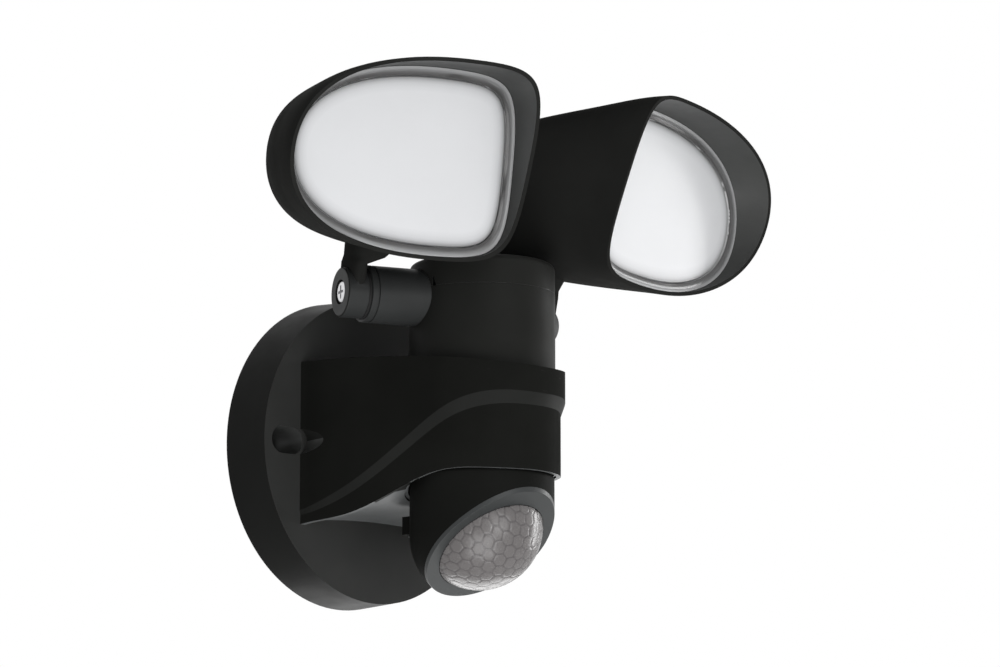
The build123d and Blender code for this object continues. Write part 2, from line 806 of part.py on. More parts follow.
def cable_grommet():
    """rubber grommet with a groove that holds the cover's edge"""
    lip_r = inlet_r + 2.0
    profile = [
        (cord_r, -cover_set_in + grommet_lip), (lip_r - 1, -cover_set_in + grommet_lip), (lip_r, -cover_set_in),
        (inlet_r, -cover_set_in), (inlet_r, -cover_back_y()), (lip_r, -cover_back_y()),
        (lip_r - 1.5, -cover_back_y() - grommet_lip), (cord_r, -cover_back_y() - grommet_lip),
    ]
    face = make_face(Polyline(*[(r, y, 0) for r, y in profile], close=True))
    return Pos(0, 0, inlet_z) * revolve(face, axis=Axis.Y)


def driver_board():
    """board with its transformer, relay and capacitors"""
    front = driver_y - pcb
    board = block((-driver_width / 2, driver_width / 2), (front, driver_y),
                  (driver_z - driver_height / 2, driver_z + driver_height / 2))
    side = driver_width / 2 - driver_margin
    top = driver_z + driver_height / 2 - driver_margin
    foot = driver_z - driver_height / 2 + driver_margin
    wide, deep, high = transformer
    board = board + block((-side, -side + wide), (front - deep, front), (top - high, top))
    wide, deep, high = relay
    board = board + block((side - wide, side), (front - deep, front), (top - high, top))
    for x in (side - wide + capacitor_r, side - capacitor_r):
        board = board + disc_y(capacitor_r, front, front - capacitor_height, x, foot)
    return board


def terminal_block():
    back = -cover_back_y()
    body = block((-terminal_width / 2, terminal_width / 2), (back - terminal_depth, back),
                 (terminal_z - terminal_height / 2, terminal_z + terminal_height / 2))
    for x in spaced(terminal_ways, terminal_width / terminal_ways):
        body = body - disc_z(2.0, terminal_z - 20, terminal_z + 20, x, back - 0.35 * terminal_depth)
        body = body - disc_y(terminal_screw_r, back - 0.45 * terminal_depth, -far, x, terminal_z)
    return body


def terminal_screws():
    back = -cover_back_y()
    head_y = back - terminal_depth + 0.5
    screws = []
    for x in spaced(terminal_ways, terminal_width / terminal_ways):
        screw = disc_y(terminal_screw_r, back - 0.6 * terminal_depth, head_y, x, terminal_z)
        screws.append(screw - Pos(x, head_y, terminal_z) * Box(3 * terminal_screw_r, 1.2, 0.8))
    return screws


# ---------------------------------------------------------------- assembly
def on_left(part):
    """a piece drawn along the arm, set in place on the left side"""
    return arm_place(-1).location * part


def on_right(part):
    return mirror(on_left(part), about=Plane.YZ)


def lamp_on_left(part, tilt):
    hinge = arm_place(-1).location * Pos(arm_end + knuckle_length / 2, 0, 0)
    return hinge * Rot(tilt, 0, 0) * part


def lamp_on_right(part, tilt):
    return mirror(lamp_on_left(part, tilt), about=Plane.YZ)


def build_parts():
    """every node as a list of its solids"""
    nodes = {
        "base_housing": [base_housing()],
        "collar_cap": [collar_cap()],
        "sensor_housing": [sensor_housing()],
        "sensor_bezel": [sensor_bezel()],
        "sensor_dome": [sensor_dome()],
        "sensor_board": [sensor_board()],
        "sensor_element": [sensor_element()],
        "sensor_nut": [sensor_nut()],
        "rear_cover": [rear_cover()],
        "cover_screws": cover_screws(),
        "wall_gasket": wall_gasket().solids(),
        "cable_grommet": [cable_grommet()],
        "driver_board": [driver_board()],
        "terminal_block": [terminal_block()],
        "terminal_screws": terminal_screws(),
    }
    for name, (x, y) in zip(("dial_range", "dial_time", "dial_lux"), dial_places()):
        nodes[name] = [dial(x, y)]
    fixed = {"arm": arm(), "friction_washer": friction_washer(), "pivot_screw": pivot_screw()}
    for name, part in fixed.items():
        nodes[name + "_left"] = [on_left(part)]
        nodes[name + "_right"] = [on_right(part)]
    lamp = {
        "head_shell": [head_shell()],
        "lens_frame": [lens_to_hinge(lens_frame())],
        "diffuser": [lens_to_hinge(diffuser())],
        "lens_gasket": [lens_to_hinge(lens_gasket())],
        "heat_plate": [lens_to_hinge(heat_plate())],
        "led_board": [lens_to_hinge(led_board())],
        "plate_screws": [lens_to_hinge(screw) for screw in plate_screws()],
    }
    for name, parts in lamp.items():
        nodes[name + "_left"] = [lamp_on_left(part, head_tilt_left) for part in parts]
        nodes[name + "_right"] = [lamp_on_right(part, head_tilt_right) for part in parts]
    return nodes


os.makedirs("parts", exist_ok=True)
for node, solids in build_parts().items():
    shape = solids[0] if len(solids) == 1 else Compound(children=list(solids))
    export_step(shape, "parts/" + node + ".step")
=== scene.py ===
import json
from math import cos, radians, sin, sqrt

import bmesh
import bpy
from mathutils import Matrix, Vector
from mathutils.kdtree import KDTree

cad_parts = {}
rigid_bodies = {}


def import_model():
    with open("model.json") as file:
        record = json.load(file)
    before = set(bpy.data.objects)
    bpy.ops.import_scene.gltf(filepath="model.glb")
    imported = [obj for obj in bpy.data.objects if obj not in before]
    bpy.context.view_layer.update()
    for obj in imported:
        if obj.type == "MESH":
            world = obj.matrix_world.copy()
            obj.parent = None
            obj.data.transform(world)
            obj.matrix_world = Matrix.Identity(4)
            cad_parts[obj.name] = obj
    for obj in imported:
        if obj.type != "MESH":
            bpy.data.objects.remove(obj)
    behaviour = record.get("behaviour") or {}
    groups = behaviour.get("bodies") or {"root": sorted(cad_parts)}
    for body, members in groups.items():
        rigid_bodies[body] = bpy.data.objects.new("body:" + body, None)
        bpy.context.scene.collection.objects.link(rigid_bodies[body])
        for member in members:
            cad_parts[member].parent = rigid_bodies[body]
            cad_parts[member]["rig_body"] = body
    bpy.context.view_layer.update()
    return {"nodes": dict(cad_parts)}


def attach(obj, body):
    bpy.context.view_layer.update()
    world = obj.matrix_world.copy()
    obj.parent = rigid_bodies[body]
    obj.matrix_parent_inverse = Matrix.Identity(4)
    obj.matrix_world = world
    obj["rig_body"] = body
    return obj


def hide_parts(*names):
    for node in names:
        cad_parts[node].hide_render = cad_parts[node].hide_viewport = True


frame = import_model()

MM = 0.001                  # the sizes named below are millimetres, the angles degrees

# wall base, body and collar
base_front_y = -19.2
body_side = 39.5            # just outside the body's side walls
body_foot_z = -36.0
body_top_z = 29.0
collar_y = -74.1            # axis of the collar and of the detector's turn
collar_foot_z = 28.5
collar_back_y = -30.0
slot_half = 5.0             # half width of the screw slots
slot_end = 54.0             # their outer ends, from the middle
scoop_r = 5.0               # round finger channel beside each screw slot
scoop_x = 40.7              # its axis, where it leaves the base
scoop_lean = 10.0
margin = 0.3                # how far a finish reaches past the wall that it belongs to
slot_margin = 0.2           # and past a slot's wall

# heads and hinges
arm_sweep = 22.0
hinge_z = 49.8
knuckle_r = 9.05
knuckle_margin = 0.12       # its facets lie this near the round
hood_start = 6.0            # hood's inner wall, behind the lens border's face

# lens border and lens
border_rings = (0.9, 0.5)   # widths of the two rings that its face is divided into
border_lip = 0.7            # level part along the outer edge
border_slope = 2.0          # from the lip to the lens
border_fall = 1.25          # how far it sinks over that width
opal_rings = (              # width of each ring from the lens's edge inwards, and the painted shade inside it
    (0.7, 0.72), (0.8, 0.42), (1.0, 0.2), (1.3, 0.08), (1.6, 0.0),
)
flat = 0.02                 # corners this near a plane lie in it
joined = 0.002              # corners this near each other are one
level = 0.3                 # facets that differ by less than this angle are one face

# how squarely a face looks along a direction: 1 straight along it, 0 across it
square = 0.999
end_on = 0.9
half_way = 0.5
inner_wall = 0.25           # hood's inner wall, towards the head's axis
border_wall = 0.95          # below this, a face of the lens border is one of its walls
step_slope = (-0.93, -0.12)             # relief step's slope, upwards
scoop_round = (0.15, -0.05)             # scoop's round wall, up or down, and towards +Y

# edges
crease = 30.0               # sharper edges stay crisp and are eased
fine_crease = 9.0           # on the body's side wall
lens_crease = 60.0          # on the lenses and their borders

# detector lens
face_centre = Vector((0.0, collar_y - 4.75, -39.75))
face_down = 50.6            # below level
dome_r = 23.1
dome_base_r = 21.0
dome_skirt = 1.3
cell_pitch = 4.7            # between neighbouring cells of a row
cell_row = 4.25             # between rows
cell_stretch = 1.06         # heights count this much more than widths where cells meet
cell_line = 0.75            # width over which a cell falls into the ruled line
cell_groove = 0.16
least_ring = 0.2            # smallest share of the ball's radius that a row is wrapped round
pattern_half = (31.0, 27.5) # half width and half height of the flat pattern
pattern_steps = (170, 150)

# studio, its sizes in metres
floor_z = -0.90
floor_half = 8.0
floor_glow = 0.42           # only as seen, so that the floor looks white under the object
surround_light = 0.36
backdrop_white = 1.0
whole_middle = (0.0, -0.06, 0.03)       # points that the lamps face
body_middle = (0.0, -0.06, 0.0)
body_underside = (0.0, -0.06, -0.03)
detector_middle = (0.0, -0.09, -0.03)


# ---------------------------------------------------------------- materials
noise_low, noise_high = 0.3, 0.7        # where most of a noise texture's values lie


def new_material(name):
    """plain material with its nodes, links and shader"""
    material = bpy.data.materials.new(name)
    material.use_nodes = True
    nodes, links = material.node_tree.nodes, material.node_tree.links
    return material, nodes, links, nodes["Principled BSDF"]


def noise(nodes, links, scale, detail=3.0):
    """cloudy values that stay with the piece"""
    place = nodes.new("ShaderNodeTexCoord")
    texture = nodes.new("ShaderNodeTexNoise")
    texture.inputs["Scale"].default_value = scale
    texture.inputs["Detail"].default_value = detail
    links.new(place.outputs["Object"], texture.inputs["Vector"])
    return texture.outputs["Fac"]


def mapped(nodes, links, value, low, high):
    """a noise value spread between two numbers"""
    spread = nodes.new("ShaderNodeMapRange")
    spread.inputs["From Min"].default_value = noise_low
    spread.inputs["From Max"].default_value = noise_high
    spread.inputs["To Min"].default_value = low
    spread.inputs["To Max"].default_value = high
    links.new(value, spread.inputs["Value"])
    return spread.outputs["Result"]


def tinted(nodes, links, value, dark, light):
    """a noise value spread between two colours"""
    ramp = nodes.new("ShaderNodeValToRGB")
    ramp.color_ramp.elements[0].position = noise_low
    ramp.color_ramp.elements[0].color = (*dark, 1)
    ramp.color_ramp.elements[1].position = noise_high
    ramp.color_ramp.elements[1].color = (*light, 1)
    links.new(value, ramp.inputs["Fac"])
    return ramp.outputs["Color"]


def relief(nodes, links, shader, value, strength, depth):
    """bumps the surface by a value, its depth in millimetres"""
    bump = nodes.new("ShaderNodeBump")
    bump.inputs["Strength"].default_value = strength
    bump.inputs["Distance"].default_value = depth * MM
    links.new(value, bump.inputs["Height"])
    links.new(bump.outputs["Normal"], shader.inputs["Normal"])


def moulded_plastic(name, colour, roughness, specular, grain=0.12, grain_scale=2600.0, spread=0.12):
    """moulding with a fine spark texture, faint flow marks in its colour and uneven sheen"""
    material, nodes, links, shader = new_material(name)
    flow = noise(nodes, links, 34.0)
    dark = [c * (1 - spread) for c in colour]
    light = [c * (1 + spread) for c in colour]
    links.new(tinted(nodes, links, flow, dark, light), shader.inputs["Base Color"])
    sheen = noise(nodes, links, 90.0, detail=4.0)
    links.new(mapped(nodes, links, sheen, roughness - 0.05, roughness + 0.05), shader.inputs["Roughness"])
    shader.inputs["Specular IOR Level"].default_value = specular
    relief(nodes, links, shader, noise(nodes, links, grain_scale, detail=2.0), grain, 0.06)
    return material


def milky_plastic(name, colour, roughness, depth, rim):
    """opal plastic that light soaks into, mixed towards the rim colour by its rim_shade attribute as
    painted shade
    """
    material, nodes, links, shader = new_material(name)
    cloud = noise(nodes, links, 22.0)
    dark = [c * 0.985 for c in colour]
    # how much painted shade a corner takes
    near = nodes.new("ShaderNodeAttribute")
    near.attribute_name = "rim_shade"
    blend = nodes.new("ShaderNodeMix")
    blend.data_type = "RGBA"
    blend.inputs["B"].default_value = (*rim, 1)
    links.new(near.outputs["Fac"], blend.inputs["Factor"])
    links.new(tinted(nodes, links, cloud, dark, colour), blend.inputs["A"])
    links.new(blend.outputs["Result"], shader.inputs["Base Color"])
    sheen = noise(nodes, links, 60.0)
    links.new(mapped(nodes, links, sheen, roughness - 0.03, roughness + 0.03), shader.inputs["Roughness"])
    shader.inputs["Specular IOR Level"].default_value = 0.4
    shader.inputs["Subsurface Weight"].default_value = 0.35
    shader.inputs["Subsurface Radius"].default_value = (1.0, 1.0, 1.0)
    shader.inputs["Subsurface Scale"].default_value = depth * MM
    relief(nodes, links, shader, noise(nodes, links, 1800.0, detail=2.0), 0.03, 0.04)
    return material


def worked_metal(name, colour, roughness, stretch):
    """metal with fine drawn lines, the pattern squeezed along each axis by the stretch"""
    material, nodes, links, shader = new_material(name)
    place = nodes.new("ShaderNodeTexCoord")
    turn = nodes.new("ShaderNodeMapping")
    turn.inputs["Scale"].default_value = stretch
    texture = nodes.new("ShaderNodeTexNoise")
    texture.inputs["Scale"].default_value = 900.0
    texture.inputs["Detail"].default_value = 4.0
    links.new(place.outputs["Object"], turn.inputs["Vector"])
    links.new(turn.outputs["Vector"], texture.inputs["Vector"])
    lines = texture.outputs["Fac"]
    dark = [c * 0.85 for c in colour]
    links.new(tinted(nodes, links, lines, dark, colour), shader.inputs["Base Color"])
    links.new(mapped(nodes, links, lines, roughness - 0.06, roughness + 0.08), shader.inputs["Roughness"])
    shader.inputs["Metallic"].default_value = 1.0
    relief(nodes, links, shader, lines, 0.08, 0.04)
    return material


def board_laminate(name, colour, track):
    """circuit board with faint tracks under its lacquer"""
    material, nodes, links, shader = new_material(name)
    place = nodes.new("ShaderNodeTexCoord")
    tracks = nodes.new("ShaderNodeTexVoronoi")
    tracks.distance = "MANHATTAN"
    tracks.inputs["Scale"].default_value = 260.0
    links.new(place.outputs["Object"], tracks.inputs["Vector"])
    links.new(tinted(nodes, links, tracks.outputs["Distance"], colour, track), shader.inputs["Base Color"])
    shader.inputs["Roughness"].default_value = 0.35
    relief(nodes, links, shader, tracks.outputs["Distance"], 0.1, 0.03)
    return material


def ruled_plastic(name, clear, edge, line):
    """milky lens: clear in the middle of each cell, darker towards its edge and on the ruled line, darkest
    in painted shadow along its rim
    """
    material, nodes, links, shader = new_material(name)
    ruled = nodes.new("ShaderNodeAttribute")
    ruled.attribute_name = "ruled_line_and_rim_shadow"
    colour = nodes.new("ShaderNodeValToRGB")
    colour.color_ramp.elements[0].position = 0.0
    colour.color_ramp.elements[0].color = (*clear, 1)
    colour.color_ramp.elements[1].position = 1.0
    colour.color_ramp.elements[1].color = (*line, 1)
    colour.color_ramp.elements.new(0.5).color = (*edge, 1)
    links.new(ruled.outputs["Fac"], colour.inputs["Fac"])
    links.new(colour.outputs["Color"], shader.inputs["Base Color"])
    sheen = noise(nodes, links, 400.0)
    links.new(mapped(nodes, links, sheen, 0.22, 0.30), shader.inputs["Roughness"])
    shader.inputs["Specular IOR Level"].default_value = 0.45
    shader.inputs["Subsurface Weight"].default_value = 0.25
    shader.inputs["Subsurface Radius"].default_value = (1.0, 0.95, 0.95)
    shader.inputs["Subsurface Scale"].default_value = 1.5 * MM
    return material


# black mouldings, each with its colour, roughness and sheen: several are lighter or darker copies of one
# black plastic that paint light and shade where it falls, as marked on each
black_shell = moulded_plastic("black_shell", (0.0112, 0.0115, 0.0105), 0.58, 0.006)
head_black = moulded_plastic("head_black", (0.0205, 0.0208, 0.0198), 0.62, 0.002)
# painted light: lighter copy for the collar and its cap
collar_painted_light = moulded_plastic("collar_painted_light", (0.0150, 0.0154, 0.0142), 0.52, 0.05)
# painted light: lighter copy for the base's front face
plate_painted_light = moulded_plastic("plate_painted_light", (0.030, 0.0305, 0.0295), 0.50, 0.06)
# painted shade: darker copy for the base's rim
rim_painted_shade = moulded_plastic("rim_painted_shade", (0.0095, 0.0098, 0.0092), 0.48, 0.05)
# painted light: lighter copy for the relief step's slope, which faces down
step_painted_light = moulded_plastic("step_painted_light", (0.0165, 0.017, 0.016), 0.50, 0.04)
# painted light: much lighter copy for the body's underside, as if lit from below
underside_painted_light = moulded_plastic("underside_painted_light", (0.110, 0.115, 0.116), 0.45, 0.30)
# painted light: lighter copy for the arms and the hinge knuckles
arm_painted_light = moulded_plastic("arm_painted_light", (0.030, 0.0315, 0.0315), 0.46, 0.12)
# painted light: much lighter copy for the hood's inner walls, the screw slots and the finger channels
hollow_painted_light = moulded_plastic("hollow_painted_light", (0.052, 0.0535, 0.052), 0.42, 0.30)
# painted highlight: lighter, glossier copy for eased edges
edge_painted_highlight = moulded_plastic("edge_painted_highlight", (0.060, 0.062, 0.060), 0.38, 0.30, grain=0.05)
detector_shell = moulded_plastic("detector_shell", (0.0090, 0.0093, 0.0085), 0.55, 0.02)
bezel_grey = moulded_plastic("bezel_grey", (0.032, 0.035, 0.0355), 0.38, 0.28, grain=0.08)
cover_grey = moulded_plastic("cover_grey", (0.022, 0.023, 0.024), 0.5, 0.4)

# seals, lenses, metals and boards
black_rubber = moulded_plastic("black_rubber", (0.012, 0.012, 0.012), 0.75, 0.3,
                               grain=0.2, grain_scale=1500.0)
sealing_foam = moulded_plastic("sealing_foam", (0.02, 0.02, 0.021), 0.9, 0.2,
                               grain=0.6, grain_scale=1200.0)
terminal_white = moulded_plastic("terminal_white", (0.68, 0.68, 0.64), 0.45, 0.5, spread=0.03)
# lens: painted shade towards its edge, where the hood stands close
opal_lens = milky_plastic("opal_lens", (0.80, 0.81, 0.83), 0.34, 4.0, rim=(0.17, 0.17, 0.172))
# border: painted shade down its groove
frosted_frame = milky_plastic("frosted_frame", (0.42, 0.425, 0.43), 0.30, 1.0, rim=(0.062, 0.061, 0.061))
bright_steel = worked_metal("bright_steel", (0.72, 0.72, 0.73), 0.24, (1, 1, 1))
rolled_aluminium = worked_metal("rolled_aluminium", (0.75, 0.76, 0.78), 0.34, (1, 12, 12))
plated_brass = worked_metal("plated_brass", (0.72, 0.55, 0.24), 0.3, (1, 1, 1))
green_board = board_laminate("green_board", (0.012, 0.075, 0.03), (0.03, 0.14, 0.06))
white_board = board_laminate("white_board", (0.72, 0.72, 0.70), (0.62, 0.62, 0.6))
# its line colour shows only on the rim and skirt: painted shadow where the lens seats in the bezel
detector_lens = ruled_plastic("detector_lens", clear=(0.140, 0.131, 0.130), edge=(0.070, 0.064, 0.065),
                              line=(0.018, 0.017, 0.017))


# ---------------------------------------------------------------- mouldings carried over from the frame
body_of_node = {name: node["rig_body"] for name, node in frame["nodes"].items()}


def on_body_side(point):
    """on the body's side wall, where the relief step's shallow edges read as crisp lines"""
    ahead = point.y < (base_front_y - margin) * MM
    return ahead and abs(point.x) < body_side * MM and body_foot_z * MM < point.z < body_top_z * MM


def set_sharp(form, side_crease):
    """smooth faces, with a crisp edge wherever two of them meet at more than the crease"""
    for face in form.faces:
        face.smooth = True
    for edge in form.edges:
        middle = (edge.verts[0].co + edge.verts[1].co) / 2
        limit = side_crease if on_body_side(middle) else crease
        edge.smooth = len(edge.link_faces) == 2 and edge.calc_face_angle(0.0) < radians(limit)


def add_piece(name, form, finishes, body):
    """makes a piece of the form and lets it ride on its body"""
    mesh = bpy.data.meshes.new(name)
    form.to_mesh(mesh)
    form.free()
    for finish in finishes:
        mesh.materials.append(finish)
    piece = bpy.data.objects.new(name, mesh)
    bpy.context.scene.collection.objects.link(piece)
    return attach(piece, body)


def stand_in(node):
    """hides the node, which the piece stands in for"""
    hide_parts(node)


def add_moulding(node, form, finishes, edge, eased_from=crease, side_crease=crease, worn=None):
    """the node's moulding, its edges eased as a mould leaves them and, where given, with a painted
    highlight on them
    """
    set_sharp(form, side_crease)
    piece = add_piece(node + "_moulded", form, finishes, body_of_node[node])
    stand_in(node)
    ease = piece.modifiers.new("eased_edges", "BEVEL")
    ease.width = edge * MM
    ease.segments = 2
    ease.limit_method = "ANGLE"
    ease.angle_limit = radians(eased_from)
    ease.harden_normals = True
    # eased edges: painted highlight
    if worn:
        piece.data.materials.append(worn)
        ease.material = len(piece.data.materials) - 1
    even = piece.modifiers.new("even_shading", "WEIGHTED_NORMAL")
    even.keep_sharp = True


def merged(node):
    """the node's own form with its facets joined"""
    form = bmesh.new()
    form.from_mesh(frame["nodes"][node].data)
    bmesh.ops.remove_doubles(form, verts=form.verts, dist=joined * MM)
    bmesh.ops.dissolve_limit(form, angle_limit=radians(level), verts=form.verts, edges=form.edges)
    form.normal_update()
    return form


def eased(node, finish, edge, **ways):
    """the node's own form in one finish"""
    add_moulding(node, merged(node), (finish,), edge, **ways)


def eased_by_place(node, finishes, finish_at, edge, **ways):
    """the node's own form, each face in the finish that finish_at gives for its middle and direction"""
    form = merged(node)
    for face in form.faces:
        face.material_index = finishes.index(finish_at(face.calc_center_median(), face.normal))
    add_moulding(node, form, finishes, edge, **ways)


# ---------------------------------------------------------------- wall base and body
housing_shells = (black_shell, plate_painted_light, hollow_painted_light, step_painted_light, underside_painted_light, collar_painted_light,
                  rim_painted_shade)


def scoop_distance(point):
    """distance from the axis of the finger channel on the point's side, in metres"""
    side = 1 if point.x > 0 else -1
    along = Vector((side * sin(radians(scoop_lean)), -cos(radians(scoop_lean)), 0))
    offset = point - Vector((side * scoop_x, base_front_y, 0)) * MM
    return (offset - along * offset.dot(along)).length


def in_scoop(point, normal):
    """on a finger channel's round wall, which the body's flat side wall comes near"""
    ahead = point.y < base_front_y * MM
    round_wall = abs(normal.z) > scoop_round[0] or normal.y > scoop_round[1]
    return ahead and round_wall and scoop_distance(point) < (scoop_r + margin) * MM


def in_slot(point):
    """inside a screw slot, behind the base's front face"""
    inside = abs(point.z) < (slot_half + slot_margin) * MM and abs(point.x) < slot_end * MM
    return inside and point.y > (base_front_y + slot_margin) * MM


def housing_finish(point, normal):
    """finish of the wall base, body and collar, which are one moulding, at a face: copies of one black
    plastic that paint light and shade by place
    """
    # relief step's slope: painted light
    if on_body_side(point) and step_slope[0] < normal.z < step_slope[1]:
        return step_painted_light
    # faces looking down ahead of the base: painted light
    if point.y < (base_front_y - margin) * MM and normal.z < -half_way:
        return underside_painted_light
    # screw slots and finger channels: painted light
    if in_slot(point) or in_scoop(point, normal):
        return hollow_painted_light
    # collar: painted light
    if point.z > collar_foot_z * MM and point.y < collar_back_y * MM:
        return collar_painted_light
    # the base's front face: painted light
    if point.y > (base_front_y - margin) * MM:
        # faces other than the base's front face, such as its rim: painted shade
        return plate_painted_light if normal.y < -end_on else rim_painted_shade
    return black_shell


# ---------------------------------------------------------------- lamp heads
head_shells = (head_black, hollow_painted_light, arm_painted_light)


def lens_face(node):
    """middle and outward direction of the node's largest flat face that looks forwards"""
    form = merged(node)
    front = max((f for f in form.faces if f.normal.y < -half_way), key=lambda f: f.calc_area())
    middle, out = sum((v.co for v in front.verts), Vector()) / len(front.verts), front.normal.copy()
    form.free()
    return middle, out


def head_finish(side):
    """finish of a head at a face: painted light on the hood's inner wall, the arm's painted light on the
    hinge's knuckle
    """
    middle, out = lens_face("lens_frame_" + side)
    sign = -1 if side == "left" else 1
    hinge = Vector((sign * cos(radians(arm_sweep)), sin(radians(arm_sweep)), 0))
    collar_axis = Vector((0, collar_y, hinge_z)) * MM

    def finish_at(point, normal):
        ahead = (point - middle).dot(out)
        inwards = (middle + out * ahead - point).normalized().dot(normal)
        # hood's inner wall: painted light
        if ahead > -hood_start * MM and inwards > inner_wall and abs(normal.dot(out)) < half_way:
            return hollow_painted_light
        offset = point - collar_axis
        off_axis = (offset - hinge * offset.dot(hinge)).length
        on_end = abs(normal.dot(hinge)) > end_on and off_axis < knuckle_r * MM
        on_round = abs(off_axis - knuckle_r * MM) < knuckle_margin * MM
        # hinge knuckle: the arm's painted light
        return arm_painted_light if on_round or on_end else head_black

    return finish_at


def front_face(form, middle, out):
    """corners and faces of the form that lie in the plane through the middle"""
    front = [v for v in form.verts if abs((v.co - middle).dot(out)) < flat * MM]
    corners = set(front)
    return front, [f for f in form.faces if f.normal.dot(out) > square and corners.issuperset(f.verts)]


def outer_edge(front, out):
    """the front corners on the border's outer wall, to measure distances from"""
    centre = sum((v.co for v in front), Vector()) / len(front)
    walls = {f for v in front for f in v.link_faces if abs(f.normal.dot(out)) < border_wall}
    outer = [f for f in walls if f.normal.dot(f.calc_center_median() - centre) > 0]
    corners = {v for f in outer for v in f.verts}.intersection(front)
    edge = KDTree(len(corners))
    for i, vert in enumerate(corners):
        edge.insert(vert.co, i)
    edge.balance()
    return edge


def lens_border(side):
    """pale border with a thin outer lip that falls into a groove beside the lens, in painted shade that
    deepens down the groove
    """
    node = "lens_frame_" + side
    middle, out = lens_face(node)
    form = merged(node)
    shade = form.verts.layers.float.new("rim_shade")
    front, faces = front_face(form, middle, out)
    edge = outer_edge(front, out)
    for width in border_rings:
        rings = bmesh.ops.inset_region(form, faces=faces, thickness=width * MM, use_even_offset=True)
        faces = [f for f in faces if f.is_valid]
        front += [v for f in rings["faces"] for v in f.verts]
    for vert in set(front):
        across = edge.find(vert.co)[2] / MM
        fall = min(max((across - border_lip) / border_slope, 0.0), 1.0)
        # painted shade deepens down the groove
        vert[shade] = sqrt(fall)
        vert.co -= out * (border_fall * fall * MM)
    add_moulding(node, form, (frosted_frame,), edge=0.15, eased_from=lens_crease)


def opal_face(side):
    """milky lens, its face divided towards the rim so that the painted shade at the rim fades inwards"""
    node = "diffuser_" + side
    middle, out = lens_face(node)
    form = merged(node)
    shade = form.verts.layers.float.new("rim_shade")
    front, faces = front_face(form, middle, out)
    for vert in front:
        vert[shade] = 1.0
    for width, darkness in opal_rings:
        bmesh.ops.inset_region(form, faces=faces, thickness=width * MM, use_even_offset=True)
        for face in faces:
            for vert in face.verts:
                vert[shade] = darkness
    add_moulding(node, form, (opal_lens,), edge=0.4, eased_from=lens_crease)


# ---------------------------------------------------------------- every piece with its finish
for side in ("left", "right"):
    eased_by_place("head_shell_" + side, head_shells, head_finish(side), edge=0.3)
    # arm: painted light
    eased("arm_" + side, arm_painted_light, edge=0.2)
    lens_border(side)
    opal_face(side)
    eased("pivot_screw_" + side, bright_steel, edge=0.1)
# the base's eased edges carry a painted highlight
eased_by_place("base_housing", housing_shells, housing_finish, edge=0.3,
               side_crease=fine_crease, worn=edge_painted_highlight)
# collar cap: painted light, with a painted highlight on its eased edges
eased("collar_cap", collar_painted_light, edge=0.25, worn=edge_painted_highlight)
eased("sensor_housing", detector_shell, edge=0.3)
eased("sensor_bezel", bezel_grey, edge=0.25)
eased("rear_cover", cover_grey, edge=0.2)

paired_nodes = {
    "friction_washer": black_rubber, "lens_gasket": black_rubber, "heat_plate": rolled_aluminium,
    "led_board": white_board, "plate_screws": bright_steel,
}
single_nodes = {
    "sensor_board": green_board, "sensor_element": bright_steel, "sensor_nut": cover_grey,
    "dial_range": bezel_grey, "dial_time": bezel_grey, "dial_lux": bezel_grey,
    "cover_screws": bright_steel, "wall_gasket": sealing_foam, "cable_grommet": black_rubber,
    "driver_board": green_board, "terminal_block": terminal_white, "terminal_screws": plated_brass,
}


def dress(node, finish):
    """gives the frame's own mesh its finish"""
    mesh = frame["nodes"][node].data
    mesh.materials.clear()
    mesh.materials.append(finish)


for name, finish in paired_nodes.items():
    for side in ("left", "right"):
        dress(name + "_" + side, finish)
for name, finish in single_nodes.items():
    dress(name, finish)


# ---------------------------------------------------------------- detector lens with its ruled cells
def face_matrix():
    """place of the slanted face: x across, y up the face, z outwards"""
    down = radians(face_down)
    out = Vector((0, -cos(down), -sin(down)))
    across = Vector((1, 0, 0))
    up = out.cross(across)
    turn = Matrix((across, up, out)).transposed().to_4x4()
    return Matrix.Translation(face_centre) @ turn


def line_share(u, v):
    """0 inside a cell, 1 on the line between two cells of the brick pattern of six-sided cells"""
    middle_row = round(v / cell_row)
    distances = []
    for row in (middle_row - 1, middle_row, middle_row + 1):
        shift = 0.5 * (row % 2)
        middle_column = round(u / cell_pitch - shift)
        for column in (middle_column - 1, middle_column, middle_column + 1):
            across = u - (column + shift) * cell_pitch
            up = (v - row * cell_row) * cell_stretch
            distances.append(sqrt(across**2 + up**2))
    nearest, second = sorted(distances)[:2]
    return max(0.0, 1.0 - (second - nearest) / cell_line)


def ball_point(u, v, lift):
    """wraps the flat pattern round the ball: rows stay level, cells keep their width"""
    rise = v / dome_r
    turn = u / (dome_r * max(cos(rise), least_ring))
    radius = dome_r + lift
    return Vector((radius * cos(rise) * sin(turn), radius * sin(rise), radius * cos(rise) * cos(turn)))


